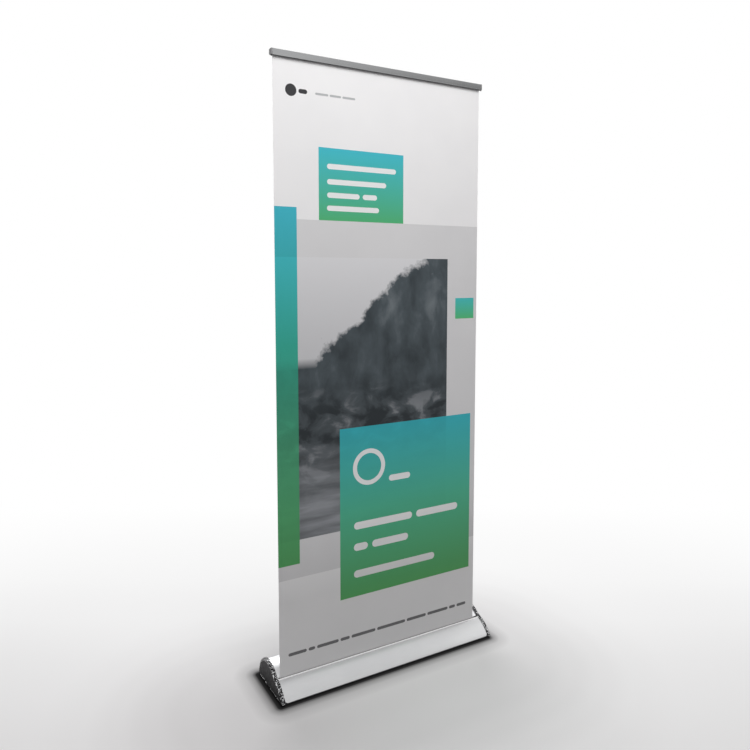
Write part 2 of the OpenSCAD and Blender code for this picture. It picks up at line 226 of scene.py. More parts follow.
def print_material():
    """A generic sheet layout: pale ground, colour blocks, an abstract grey picture and bars in place of words."""
    t = Tree("printed_film")
    tc = t.node("ShaderNodeTexCoord")
    sep = t.node("ShaderNodeSeparateXYZ")
    t.nt.links.new(tc.outputs["Object"], sep.inputs[0])
    x = t.math("MULTIPLY_ADD", sep.outputs[0], 1000.0, -BX)
    z = t.math("MULTIPLY_ADD", sep.outputs[2], 1000.0, -SLOT_Z)

    def inside(v, lo, hi):
        return t.math("LESS_THAN", t.math("ABSOLUTE", t.math("SUBTRACT", v, (lo + hi) / 2)), (hi - lo) / 2)

    def box(x0, x1, z0, z1):
        return t.math("MULTIPLY", inside(x, x0, x1), inside(z, z0, z1))

    def bar(x0, x1, zc, h):
        """A bar with round ends."""
        hx = (x1 - x0) / 2 - h / 2
        dx = t.math("SUBTRACT", t.math("ABSOLUTE", t.math("SUBTRACT", x, (x0 + x1) / 2)), hx)
        dx = t.math("MAXIMUM", dx, 0.0)
        dz = t.math("SUBTRACT", z, zc)
        d2 = t.math("ADD", t.math("MULTIPLY", dx, dx), t.math("MULTIPLY", dz, dz))
        return t.math("LESS_THAN", d2, h * h / 4)

    def any_of(masks):
        m = masks[0]
        for other in masks[1:]:
            m = t.math("MAXIMUM", m, other)
        return m

    def fade(z0, z1):
        """1 at z1, 0 at z0."""
        n = t.node("ShaderNodeMapRange")
        t.put(n.inputs["Value"], z)
        n.inputs["From Min"].default_value = z0
        n.inputs["From Max"].default_value = z1
        return n.outputs[0]

    vec = t.node("ShaderNodeCombineXYZ")
    t.put(vec.inputs[0], t.math("MULTIPLY", x, 0.001))
    t.put(vec.inputs[2], t.math("MULTIPLY", z, 0.001))
    vec = vec.outputs[0]

    paper = t.noise(vec, 6, 2.0)
    ground = t.ramp(paper, [(0.3, (0.800, 0.802, 0.808)), (0.7, (0.824, 0.826, 0.830))])
    grey = t.ramp(paper, [(0.3, (0.640, 0.642, 0.650)), (0.7, (0.662, 0.664, 0.672))])
    colour = t.mix(box(-400.5, 400.5, 327, 1506), ground, grey)

    # Abstract picture: a pale field above a soft diagonal, dark soft blocks, then blotches and streaks.
    wob = t.noise(vec, 7, 5.0, 0.62)
    edge = t.math("MULTIPLY_ADD", x, 0.80, 1262.0)
    edge = t.math("ADD", edge, t.math("MULTIPLY", t.math("SUBTRACT", wob, 0.5), 360.0))
    edge = t.math("MAXIMUM", edge, 1040.0)
    below = t.math("MULTIPLY_ADD", t.math("SUBTRACT", edge, z), 1 / 34.0, 0.5, clamp=True)
    sky = t.ramp(fade(980, 1386), [(0.0, (0.53, 0.535, 0.55)), (1.0, (0.68, 0.685, 0.70))])
    tall = t.node("ShaderNodeMapping")
    t.put(tall.inputs["Vector"], vec)
    tall.inputs["Scale"].default_value = (1.0, 1.0, 0.55)
    strokes = t.noise(tall.outputs[0], 13, 4.0, 0.55, 0.3)
    block = t.math("ADD", t.math("MULTIPLY", strokes, 0.74), t.math("MULTIPLY", fade(700, 1386), 0.20))
    dark = t.ramp(block, [(0.28, (0.022, 0.029, 0.033)), (0.54, (0.070, 0.087, 0.098)), (0.74, (0.17, 0.195, 0.21))])
    pic = t.mix(below, sky, dark)
    wide = t.node("ShaderNodeMapping")
    t.put(wide.inputs["Vector"], vec)
    wide.inputs["Scale"].default_value = (1.0, 1.0, 1.5)
    blot = t.noise(wide.outputs[0], 9.5, 4.0, 0.55, 0.4)
    ground2 = t.ramp(blot, [(0.42, (0.022, 0.028, 0.032)), (0.54, (0.060, 0.072, 0.080)), (0.68, (0.20, 0.215, 0.23))],
                     "EASE")
    streak = t.node("ShaderNodeMapping")
    t.put(streak.inputs["Vector"], vec)
    streak.inputs["Scale"].default_value = (0.35, 1.0, 2.6)
    streak.inputs["Rotation"].default_value = (0, math.radians(9), 0)
    st = t.noise(streak.outputs[0], 11, 3.0, 0.5)
    road = t.ramp(st, [(0.36, (0.13, 0.14, 0.15)), (0.64, (0.27, 0.285, 0.305))])
    low = t.mix(fade(780, 560), ground2, road)
    pic = t.mix(t.math("MULTIPLY_ADD", t.math("SUBTRACT", 920.0, z), 1 / 110.0, 0.5, clamp=True), pic, low)
    photo_mask = box(-401, 267, 456, 1386)
    colour = t.mix(photo_mask, colour, pic)
    under = t.mix(photo_mask, (0.86, 0.86, 0.86), t.ramp(pic_value(t, pic), [(0.0, 0.62), (0.12, 0.80), (0.62, 0.98)]))

    # Colour blocks.
    def block_col(z0, z1, top, foot):
        return t.ramp(fade(z0, z1), [(0.0, foot), (1.0, top)])

    top_sq = ((0.056, 0.468, 0.554), (0.081, 0.42, 0.175))
    colour = t.mix(box(-246, 76, 1506, 1739), colour, block_col(1506, 1739, *top_sq))
    side = t.ramp(fade(375, 1544), [(0.0, (0.094, 0.392, 0.126)), (0.33, (0.078, 0.400, 0.215)),
                                    (0.62, (0.037, 0.384, 0.290)), (1.0, (0.062, 0.51, 0.63))])
    colour = t.mix(box(-401, -324, 375, 1544), colour, t.mix(1.0, side, under, "MULTIPLY"))
    colour = t.mix(box(303, 387, 1168, 1244), colour, block_col(1168, 1244, (0.059, 0.49, 0.49), (0.087, 0.47, 0.177)))
    big = t.ramp(fade(210, 809), [(0.0, (0.105, 0.43, 0.135)), (0.5, (0.078, 0.455, 0.285)), (1.0, (0.042, 0.46, 0.53))])
    soft = t.mix(0.45, under, (1.0, 1.0, 1.0))
    colour = t.mix(box(-174, 378, 210, 809), colour, t.mix(1.0, big, soft, "MULTIPLY"))

    # Bars in place of words, and a plain ring in place of the numeral.
    pale = [bar(-216, 46, 1680, 17), bar(-216, 7, 1631, 17), bar(-216, -96, 1588, 17), bar(-84, -29, 1588, 17),
            bar(-217, -21, 1546, 17)]
    rx, rz = t.math("SUBTRACT", x, -60.0), t.math("SUBTRACT", z, 665.0)
    dist = t.math("SQRT", t.math("ADD", t.math("MULTIPLY", rx, rx), t.math("MULTIPLY", rz, rz)))
    ring = t.math("LESS_THAN", t.math("ABSOLUTE", t.math("SUBTRACT", dist, 56.0)), 8.0)
    pale += [ring, bar(20, 109, 612, 22),
             bar(-120, 118, 462, 26), bar(136, 321, 462, 26), bar(-121, -66, 386, 26), bar(-48, 101, 386, 26),
             bar(-121, 217, 290, 26)]
    colour = t.mix(any_of(pale), colour, (0.80, 0.81, 0.81))
    words, at = [], -368.0
    for w in (66, 24, 82, 36, 96, 118, 84, 92, 28, 42):
        words.append(bar(at, at + w, 69, 11))
        at += w + 7.2
    colour = t.mix(any_of(words), colour, (0.17, 0.17, 0.175))

    # Small plain mark and its caption.
    mx, mz = t.math("ADD", x, 340.0), t.math("SUBTRACT", z, 1905.0)
    disc = t.math("SQRT", t.math("ADD", t.math("MULTIPLY", mx, mx), t.math("MULTIPLY", mz, mz)))
    dot = t.math("MAXIMUM", t.math("LESS_THAN", disc, 19.0), bar(-314, -284, 1905, 14))
    colour = t.mix(dot, colour, (0.045, 0.045, 0.048))
    colour = t.mix(any_of([bar(-256, -210, 1904, 7), bar(-205, -164, 1904, 7), bar(-159, -112, 1904, 7)]),
                   colour, (0.42, 0.43, 0.44))

    # The lowest part of the sheet, next to the casing, carries painted shade: its colour is darkened towards the
    # bottom.
    colour = t.mix(1.0, colour, t.ramp(fade(-20, 520), [(0.0, 0.82), (0.5, 0.77), (0.8, 0.91), (1.0, 1.0)]), "MULTIPLY")
    grain = t.noise(t.coords(), 2400, 2.0, 0.5)
    wave = t.noise(vec, 2.2, 1.0, 0.4)
    nrm = t.bump(grain, 0.10, 0.00003)
    nrm = t.bump(wave, 0.25, 0.0015, nrm)
    rough = t.math("MULTIPLY_ADD", grain, 0.10, 0.50)
    t.principled(Base_Color=colour, Roughness=rough, Normal=nrm, Specular_IOR_Level=0.30)
    return t.mat


def pic_value(t, colour):
    n = t.node("ShaderNodeRGBToBW")
    t.put(n.inputs[0], colour)
    return n.outputs[0]


# ------------------------------------------------------------------ materials

M = {
    # The fascia's top lip carries a painted highlight (lip=0.0545).
    "fascia": brushed("fascia_satin", (0.74, 0.745, 0.755), (0.82, 0.825, 0.83), (0.20, 0.27), "X", coat=0.35, wear=0.0, bump=0.05,
                      metallic=0.55, lip=0.0545),
    "cover": brushed("cover_satin", (0.80, 0.805, 0.815), (0.87, 0.875, 0.88), (0.24, 0.32), "X", coat=0.3, wear=0.0, bump=0.08),
    # The rail's down-facing faces carry painted shade (under=0.15).
    "rail": brushed("rail_satin", (0.50, 0.503, 0.507), (0.59, 0.593, 0.597), (0.20, 0.29), "X", wear=0.05, under=0.15),
    "tube": brushed("pole_satin", (0.70, 0.71, 0.72), (0.80, 0.81, 0.82), (0.22, 0.32), "Z"),
    "tube_x": brushed("roller_satin", (0.68, 0.69, 0.70), (0.78, 0.79, 0.80), (0.26, 0.36), "X"),
    "steel": brushed("zinc_steel", (0.48, 0.49, 0.50), (0.62, 0.63, 0.65), (0.25, 0.42), "N", bump=0.2),
    "tray": moulded("tray_paint", (0.055, 0.055, 0.060), (0.10, 0.10, 0.108), (0.38, 0.5), 500, 0.00005, 0.25),
    "inlay": moulded("inlay_grain", (0.002, 0.002, 0.002), (0.062, 0.062, 0.065), (0.42, 0.62), 130, 0.0018, 1.0,
                     specular=0.32),
    "black": moulded("black_plastic", (0.018, 0.018, 0.019), (0.040, 0.040, 0.042), (0.36, 0.5), 1100),
    "rubber": moulded("foot_rubber", (0.016, 0.016, 0.016), (0.034, 0.034, 0.034), (0.7, 0.85), 800, 0.0001, 0.5),
    "bush": moulded("bush_plastic", (0.60, 0.59, 0.53), (0.70, 0.69, 0.63), (0.35, 0.45), 1200),
    "cap_grey": moulded("rail_cap_grey", (0.20, 0.20, 0.205), (0.27, 0.27, 0.275), (0.36, 0.5), 1000),
    "pile": moulded("black_pile", (0.006, 0.006, 0.006), (0.03, 0.03, 0.03), (0.9, 1.0), 1500, 0.0004, 0.9),
    "print": print_material(),
}


def chrome_material():
    """Plated plastic with a rippled, worn surface: mirror flecks beside near-black ones, the near-black flecks being a
    painted dark reflection.
    """
    t = Tree("cap_chrome")
    ripple = t.noise(t.coords(), 150, 4.0, 0.65)
    speck = t.noise(t.coords(), 210, 3.0, 0.7)
    hair = t.noise(t.coords(scale=(1, 1, 0.06)), 900, 4.0, 0.7)
    r = t.math("MULTIPLY_ADD", hair, 0.16, 0.08)
    # Painted reflection: the near-black flecks in the colour stand in for dark reflections; the bright flecks are the
    # plating's own colour.
    colour = t.ramp(speck, [(0.44, (0.008, 0.008, 0.009)), (0.53, (0.05, 0.05, 0.052)), (0.60, (0.92, 0.92, 0.925))])
    nrm = t.bump(ripple, 0.75, 0.0012)
    nrm = t.bump(hair, 0.12, 0.00004, nrm)
    t.principled(Base_Color=colour, Metallic=1.0, Roughness=r, Normal=nrm)
    return t.mat


M["chrome"] = chrome_material()


# ------------------------------------------------------------------ mesh helpers

def place(name, verts, faces, mat, body, slot, gone=(), angle=35, modifiers=()):
    """verts in millimetres, in the CAD's own frame."""
    me = bpy.data.meshes.new(name)
    me.from_pydata([Vector(v) * MM for v in verts], [], faces)
    me.validate()
    me.update()
    o = bpy.data.objects.new(name, me)
    bpy.context.scene.collection.objects.link(o)
    me.materials.append(M[mat])
    for p in me.polygons:
        p.use_smooth = True
    me.set_sharp_from_angle(angle=math.radians(angle))
    for kind, props in modifiers:
        m = o.modifiers.new(kind.lower(), kind)
        for k, v in props.items():
            setattr(m, k, v)
    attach(o, body)
    if gone:
        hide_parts(*gone)
    return o


def bevel(width, angle=30, segments=2):
    return ("BEVEL", dict(width=width * MM, segments=segments, limit_method="ANGLE",
                          angle_limit=math.radians(angle), harden_normals=False))


def grid(xs, profile, close_u=False):
    """Sheet over x columns; profile(x) gives the same number of (y, z) points each time."""
    rows = [profile(x) for x in xs]
    n = len(rows[0])
    verts = [(x, YB + p[0], p[1]) for x, r in zip(xs, rows) for p in r]
    faces = [(i * n + j, (i + 1) * n + j, (i + 1) * n + j + 1, i * n + j + 1)
             for i in range(len(xs) - 1) for j in range(n - 1)]
    return verts, faces


def loft(rings, ends=(True, True), flip=False):
    """Closed rings of equal length joined in order, with the first and last filled."""
    n = len(rings[0])
    verts = [p for r in rings for p in r]
    faces = [(i * n + j, i * n + (j + 1) % n, (i + 1) * n + (j + 1) % n, (i + 1) * n + j)
             for i in range(len(rings) - 1) for j in range(n)]
    if ends[0]:
        faces.append(tuple(range(n))[::-1])
    if ends[1]:
        faces.append(tuple((len(rings) - 1) * n + j for j in range(n)))
    if flip:
        faces = [f[::-1] for f in faces]
    return verts, faces


def join(*parts):
    verts, faces = [], []
    for v, f in parts:
        base = len(verts)
        verts += list(v)
        faces += [tuple(i + base for i in q) for q in f]
    return verts, faces


def lathe(profile, origin, axis, n=72, shape=None, closed=True):
    """Turns (s, r) points about an axis. closed joins the last point to the first."""
    a = Vector(axis).normalized()
    u = a.orthogonal().normalized()
    v = a.cross(u)
    rings = []
    for k in range(n):
        th = 2 * math.pi * k / n
        ring = []
        for s, r in profile:
            rr = shape(s, r, th) if shape else r
            ring.append(Vector(origin) + a * s + (u * math.cos(th) + v * math.sin(th)) * rr)
        rings.append(ring)
    m = len(profile)
    verts = [tuple(p) for r in rings for p in r]
    faces = []
    for k in range(n):
        k2 = (k + 1) % n
        for j in range(m if closed else m - 1):
            j2 = (j + 1) % m
            faces.append((k * m + j, k * m + j2, k2 * m + j2, k2 * m + j))
    return verts, faces


def tube_profile(s0, s1, ro, ri, c=0.3):
    return [(s0, ri + c), (s0 + c * 0, ro - c), (s0 + c, ro), (s1 - c, ro), (s1, ro - c), (s1, ri + c),
            (s1 - c, ri), (s0 + c, ri)]


def rod_profile(s0, s1, r, c=0.4):
    return [(s0, 0.02), (s0, r - c), (s0 + c * 0.3, r - c * 0.3), (s0 + c, r), (s1 - c, r), (s1 - c * 0.3, r - c * 0.3),
            (s1, r - c), (s1, 0.02)]


def fix_normals(o):
    bm = bmesh.new()
    bm.from_mesh(o.data)
    bmesh.ops.remove_doubles(bm, verts=bm.verts, dist=1e-6)
    bmesh.ops.recalc_face_normals(bm, faces=bm.faces)
    bm.to_mesh(o.data)
    bm.free()
    for p in o.data.polygons:
        p.use_smooth = True
    o.data.set_sharp_from_angle(angle=math.radians(35))
    return o


def arc_pts(c, r, a0, a1, n):
    return [(c[0] + r * math.cos(a0 + (a1 - a0) * i / n), c[1] + r * math.sin(a0 + (a1 - a0) * i / n))
            for i in range(n + 1)]


def bend(a, b, c, n=4):
    """Rounds the corner b between a and c."""
    a, b, c = Vector(a), Vector(b), Vector(c)
    out = []
    for i in range(n + 1):
        t = i / n
        p = a * (1 - t) ** 2 + b * 2 * t * (1 - t) + c * t * t
        out.append((p.x, p.y))
    return out


def spread(a, b, n):
    return [a + (b - a) * i / n for i in range(n + 1)]


def rounded(poly, r, n=3):
    """Closed outline with its corners rounded; r is one number or one for each corner."""
    out = []
    k = len(poly)
    for i in range(k):
        p, q, s = Vector(poly[i - 1]), Vector(poly[i]), Vector(poly[(i + 1) % k])
        rr = r[i] if hasattr(r, "__len__") else r
        if rr <= 0:
            out.append(tuple(q))
            continue
        d0 = min(rr, (p - q).length * 0.45)
        d1 = min(rr, (s - q).length * 0.45)
        a = q + (p - q).normalized() * d0
        c = q + (s - q).normalized() * d1
        out += bend(a, q, c, n)
    return out


def prism_x(outline, x0, x1, cuts=()):
    """Closed (y, z) outline, counted so that its faces look outwards, between x0 and x1."""
    area = sum(outline[i - 1][0] * outline[i][1] - outline[i][0] * outline[i - 1][1] for i in range(len(outline)))
    pts = outline if area > 0 else outline[::-1]
    xs = [x0, *cuts, x1]
    rings = [[(x, YB + p[0], p[1]) for p in pts] for x in xs]
    return loft(rings)


# ------------------------------------------------------------------ casing

def front_angle(z, o):
    return math.pi - math.asin((z - F_C.y) / (F_R + o))


def fascia_profile(x):
    r = 10.0
    d = max(0.0, min(r, HALF - 0.1 - abs(x)))
    zb = F0.y + r - math.sqrt(max(0.0, r * r - (r - d) ** 2))
    a0, a1 = front_angle(zb, 0), front_angle(F1.y, 0)
    foot = (F_C.x + F_R * math.cos(a0), zb)
    da = 1.8 / F_R
    p0 = (F_C.x + F_R * math.cos(a0 - da), F_C.y + F_R * math.sin(a0 - da))
    p1 = (F_C.x + F_R * math.cos(a1 + da * 0.7), F_C.y + F_R * math.sin(a1 + da * 0.7))
    pts = [(foot[0] + 9.5, zb), (foot[0] + 5, zb)]
    pts += bend((foot[0] + 1.8, zb), foot, p0, 5)
    pts += arc_pts(F_C, F_R, a0 - da, a1 + da * 0.7, 44)[1:-1]
    pts += bend(p1, (F1.x, F1.y), (F1.x, F1.y - 1.3), 5)
    pts += [(F1.x, F1.y - 4), (F1.x, F1.y - 8.4)]
    return pts


def end_columns(limit, r=10.0):
    near = [limit - r + r * math.sin(math.pi / 2 * i / 10) for i in range(11)]
    mid = [-(limit - r) + 2 * (limit - r) * i / 36 for i in range(1, 36)]
    return [-x for x in near[::-1]] + mid + near


v, f = grid(end_columns(HALF - 0.1), fascia_profile)
fascia = place("fascia_skin", v, f, "fascia", "base", "fascia_silver", ["front_fascia"], 40,
               [("SOLIDIFY", dict(thickness=1.5 * MM, offset=-1.0, use_rim=True)), bevel(0.35, 45)])


def cover_profile(x):
    a0 = math.atan2(S_OUT.y, S_OUT.x)
    s2 = HUMP_C + HUMP_R * S_OUT
    start = S1 + 1.6 * S_DIR
    a1 = math.asin((7.0 - HUMP_C.y) / HUMP_R)
    pts = [(S1.x + 0.05, SLOT_Z - 8), (S1.x + 0.05, SLOT_Z - 4)]
    pts += bend((S1.x + 0.05, S1.y - 1.6), (S1.x + 0.05, S1.y), (start.x, start.y), 5)
    pts += [tuple(start.lerp(s2, i / 8)) for i in range(1, 9)]
    pts += arc_pts(HUMP_C, HUMP_R, a0, a1, 56)[1:]
    return pts


def cut_hole(o, origin, axis, r, s0, s1):
    """Cuts a round hole through a finished sheet."""
    cv, cf = lathe([(s0, 0.02), (s0, r), (s1, r), (s1, 0.02)], origin, axis, 64, closed=False)
    me = bpy.data.meshes.new("cutter")
    me.from_pydata([Vector(p) * MM for p in cv], [], cf)
    c = bpy.data.objects.new("cutter", me)
    bpy.context.scene.collection.objects.link(c)
    bm = bmesh.new()
    bm.from_mesh(me)
    bmesh.ops.remove_doubles(bm, verts=bm.verts, dist=5e-5)
    bmesh.ops.recalc_face_normals(bm, faces=bm.faces)
    bm.to_mesh(me)
    bm.free()
    m = o.modifiers.new("hole", "BOOLEAN")
    m.object, m.operation, m.solver = c, "DIFFERENCE", "EXACT"
    while o.modifiers[0] != m:
        if o.modifiers[0].type in ("SOLIDIFY",):
            break
        o.modifiers.move(o.modifiers.find("hole"), 0)
    dg = bpy.context.evaluated_depsgraph_get()
    bm_mod = [x for x in o.modifiers if x.type == "BEVEL"]
    for x in bm_mod:
        x.show_viewport = False
    dg.update()
    new = bpy.data.meshes.new_from_object(o.evaluated_get(dg), preserve_all_data_layers=True, depsgraph=dg)
    o.data = new
    for x in list(o.modifiers):
        if x.type != "BEVEL":
            o.modifiers.remove(x)
    for x in bm_mod:
        x.show_viewport = True
    bpy.data.objects.remove(c)
    return o


cols = [-HALF + 0.1 + (2 * HALF - 0.2) * i / 40 for i in range(41)]
v, f = grid(cols, cover_profile)
cover = place("rear_cover_skin", v, f, "cover", "base", "cover_silver", ["rear_cover"], 40,
              [("SOLIDIFY", dict(thickness=1.8 * MM, offset=-1.0, use_rim=True)), bevel(0.35, 45)])
cut_hole(cover, POLE_O, POLE_AX, 12.4, 50, 92)


def side_outline(o, zb, r=2.5):
    """Outline of the casing's end, grown by o, from the front foot over the slot to the rear foot."""
    R = F_R + o
    y0 = F0.x - o

    def arc_z(y):
        return F_C.y + math.sqrt(R * R - (y - F_C.x) ** 2)

    p0 = S1 + o * S_OUT

    def line_z(y):
        return p0.y + (y - p0.x) * S_DIR.y / S_DIR.x

    lo, hi = -14.0, 16.0
    for _ in range(50):
        mid = (lo + hi) / 2
        if arc_z(mid) > line_z(mid):
            lo = mid
        else:
            hi = mid
    yc = (lo + hi) / 2
    zc = arc_z(yc)
    pts = bend((y0 + r, zb), (y0, zb), (y0, zb + r), 4)
    z_arc = max(arc_z(y0), zb + r + 0.6)
    a0 = math.pi - math.asin(min(1, (z_arc - F_C.y) / R))
    a1 = math.atan2(zc - F_C.y, yc - F_C.x) + 2.0 / R
    pts += [(y0, zb + r + (z_arc - zb - r) * 0.5)]
    pts += arc_pts(F_C, R, a0, a1, 30)
    s0 = Vector((yc, zc)) + 2.2 * S_DIR
    pts += bend(pts[-1], (yc, zc), (s0.x, s0.y), 4)[1:]
    s2 = HUMP_C + (HUMP_R + o) * S_OUT
    pts += [tuple(s0.lerp(s2, i / 6)) for i in range(1, 7)]
    ah = math.atan2(S_OUT.y, S_OUT.x)
    rr = HUMP_R + o
    ae = math.asin((max(zb + r, HUMP_C.y * 0 + zb + r) - HUMP_C.y) / rr)
    pts += arc_pts(HUMP_C, rr, ah, ae, 44)[1:]
    ye = pts[-1][0]
    pts += bend(pts[-1], (ye, zb), (ye - r, zb), 4)[1:]
    pts += [(y, zb) for y in spread(ye - r, y0 + r, 10)[1:-1]]
    return pts


def cap_rings(seq, s):
    rings = []
    for x, o, zb, r in seq:
        rings.append([(s * x, YB + p[0], p[1]) for p in side_outline(o, zb, r)])
    return rings


shell = [(HALF + 5, -2.0, 6.0, 2.0), (HALF, -2.0, 6.0, 2.0), (HALF, LIP - 0.4, 1.4, 2.5), (HALF + 0.4, LIP, 1.0, 2.5),
         (HALF + 3.5, LIP, 1.0, 2.5), (HALF + 7, LIP, 1.0, 2.5)]
for i in range(1, 10):
    ph = math.pi / 2 * i / 9
    shell.append((HALF + 7 + 5.5 * math.sin(ph), -3 + 6.5 * math.cos(ph), 1.0 + 1.6 * (1 - math.cos(ph)), 2.5))
shell += [(OUT, -5.0, 5.2, 2.5), (OUT - 0.25, -5.7, 6.3, 2.5), (OUT - 0.8, -6.0, 6.7, 2.4), (OUT - 2.6, -6.0, 7.0, 2.2)]
plate = [(OUT - 2.5, -6.3, 7.3, 2.0), (OUT - 1.3, -6.3, 7.3, 2.0), (OUT - 0.8, -6.5, 7.5, 2.0),
         (OUT - 0.45, -7.0, 8.0, 2.0), (OUT - 0.30, -7.9, 8.9, 2.0)]
for s, side in ((-1, "left"), (1, "right")):
    v, f = loft(cap_rings(shell, s), flip=s > 0)
    o = place(f"end_cap_shell_{side}", v, f, "chrome", "base", "cap_chrome", [f"end_cap_{side}"], 40)
    fix_normals(o)
    v, f = loft(cap_rings(plate, s), flip=s > 0)
    o = place(f"end_inlay_plate_{side}", v, f, "inlay", "base", "inlay_dark", [f"end_inlay_{side}"], 40)
    fix_normals(o)


# Brush strips that line the slot: a rounded core with an uneven pile.
def strip(s):
    xs = [BX - 402 + 804 * i / 220 for i in range(221)]
    rings = []
    for x in xs:
        ring = []
        pts = rounded([(0.62, SLOT_Z - 8), (2.38, SLOT_Z - 8), (2.38, SLOT_Z - 0.9), (0.62, SLOT_Z - 0.9)],
                      [0, 0, 0.6, 0.6], 3)
        for y, z in pts:
            w = noise.noise(Vector((x * 0.9, y * 3, z * 3)))
            ring.append((x, YB + s * (y + (0.0 if z < SLOT_Z - 3 else abs(w) * 0.12)), z + (0.10 * w if z > SLOT_Z - 3 else 0)))
        rings.append(ring)
    return loft(rings, flip=s > 0)


lining = place("slot_brush_strips", *join(strip(-1), strip(1)), "pile", "base", "black_pile", ["slot_lining"], 50)
fix_normals(lining)


# Feet: turned rubber pads with a shallow ring in the underside.
def foot(x, y):
    prof = [(0.6, 0.05), (0.6, 8), (0.0, 8.8), (0.0, 13.2), (0.35, 14.2), (1.0, 14.8), (3.9, 15.0), (4.0, 14.6), (4.0, 0.05)]
    return lathe(prof, (x, y, 0), (0, 0, 1), 48)


feet = place("foot_pads", *join(*[foot(sx * 330, y) for sx in (-1, 1) for y in (-78, 78)]), "rubber", "base", "rubber",
             ["rubber_feet"], 40)
fix_normals(feet)

# ------------------------------------------------------------------ roller and what turns in it

RO = (0, YB + ROLL_Y, ROLL_Z)
TH = BANNER / 2 + 0.4
R1 = 16.0


def along_roller(name, profiles, mat, body, slot, gone, n=64):
    o = place(name, *join(*[lathe(p, RO, (1, 0, 0), n) for p in profiles]), mat, body, slot, [gone], 40)
    return fix_normals(o)


along_roller("roller_tube_body", [tube_profile(BX - TH, BX + TH, R1, R1 - 1.4)], "tube_x", "roller",
             "tube_aluminium", "roller_tube")
along_roller("idle_axle_pin", [[(-HALF - 4, 0.02), (-HALF - 4, 6.6), (-HALF - 3.6, 7), (-HALF - 0.3, 7), (-HALF, 6.7),
                                (-HALF, 4), (BX - TH + 27.6, 4), (BX - TH + 28, 3.6), (BX - TH + 28, 0.02)]],
             "steel", "base", "steel", "idle_axle")
along_roller("spring_shaft_bar", [[(100, 0.02), (100, 4.4), (100.6, 5), (HALF, 5), (HALF, 7.7), (HALF + 0.3, 8),
                                   (HALF + 3.6, 8), (HALF + 4, 7.6), (HALF + 4, 0.02)]], "steel", "base", "steel",
             "spring_shaft")
along_roller("spring_collar_ring", [tube_profile(330, 342, 9, 5.02)], "steel", "base", "steel", "spring_collar")
along_roller("spring_anchor_ring", [tube_profile(106, 118, R1 - 1.42, 5.05)], "black", "roller", "black_plastic",
             "spring_anchor")
along_roller("roller_plug_body_left",
             [[(BX - TH - 2, 6.5), (BX - TH - 2, 17.1), (BX - TH - 1.7, 17.4), (BX - TH - 0.1, 17.4), (BX - TH, 14.58),
               (BX - TH + 27.4, 14.58), (BX - TH + 28, 14), (BX - TH + 28, 6.5)]], "black", "roller", "black_plastic",
             "roller_plug_left")
along_roller("roller_plug_body_right",
             [[(BX + TH + 2, 7.5), (BX + TH + 2, 17.1), (BX + TH + 1.7, 17.4), (BX + TH + 0.1, 17.4), (BX + TH, 14.58),
               (BX + TH - 27.4, 14.58), (BX + TH - 28, 14), (BX + TH - 28, 7.5)]], "black", "roller", "black_plastic",
             "roller_plug_right")
along_roller("roller_bush_body_left", [tube_profile(BX - TH - 2, BX - TH + 27, 6.48, 4.05)], "bush", "roller",
             "bush_plastic", "roller_bush_left")
along_roller("roller_bush_body_right", [tube_profile(BX + TH - 27, BX + TH + 2, 7.48, 5.05)], "bush", "roller",
             "bush_plastic", "roller_bush_right")


def coil():
    """Torsion spring: round wire wound between the collar and the anchor."""
    turns, seg, sides, wire, r = 22, 26, 8, 1.12, 9.0
    x0, x1 = 120.5, 328.5
    rings = []
    for i in range(turns * seg + 1):
        a = 2 * math.pi * i / seg
        c = Vector((x0 + (x1 - x0) * i / (turns * seg), YB + ROLL_Y + r * math.cos(a), ROLL_Z + r * math.sin(a)))
        out = Vector((0, math.cos(a), math.sin(a)))
        rings.append([tuple(c + out * wire * math.cos(b) + Vector((1, 0, 0)) * wire * math.sin(b))
                      for b in (2 * math.pi * j / sides for j in range(sides))])
    return loft(rings)


fix_normals(place("torsion_spring_wire", *coil(), "steel", "base", "steel", ["torsion_spring"], 60))


def wound():
    """The turns of film that stay on the roller, as one spiral sheet."""
    turns, seg = 4, 72
    r0, r1, th = 16.06, 17.36, 0.2
    inner, outer = [], []
    for i in range(turns * seg + 1):
        a = -2 * math.pi * i / seg + math.pi
        r = r0 + (r1 - r0) * i / (turns * seg)
        inner.append((r * math.cos(a), r * math.sin(a)))
        outer.append(((r + th) * math.cos(a), (r + th) * math.sin(a)))
    ring = inner + outer[::-1]
    n = len(inner)
    xs = [BX - 400, BX + 400]
    m = len(ring)
    verts = [(x, YB + ROLL_Y + p[0], ROLL_Z + p[1]) for x in xs for p in ring]
    faces = [(j, (j + 1) % m, m + (j + 1) % m, m + j) for j in range(m)]
    for e in (0, m):
        for j in range(n - 1):
            faces.append((e + j, e + j + 1, e + m - 2 - j, e + m - 1 - j))
    return verts, faces


film_white = Tree("film_back")
_n = film_white.noise(film_white.coords(), 1800, 2.0, 0.5)
_c = film_white.ramp(film_white.noise(film_white.coords(), 8, 2.0), [(0.3, (0.78, 0.78, 0.785)), (0.7, (0.82, 0.82, 0.825))])
film_white.principled(Base_Color=_c, Roughness=film_white.math("MULTIPLY_ADD", _n, 0.1, 0.5),
                      Normal=film_white.bump(_n, 0.1, 0.00003), Specular_IOR_Level=0.3)
M["film_back"] = film_white.mat
roll = fix_normals(place("wound_film", *wound(), "film_back", "roller", "film", ["graphic_roll"], 40))

# ------------------------------------------------------------------ banner

BZ0, BZ1 = 34.0, ZR + 12.0


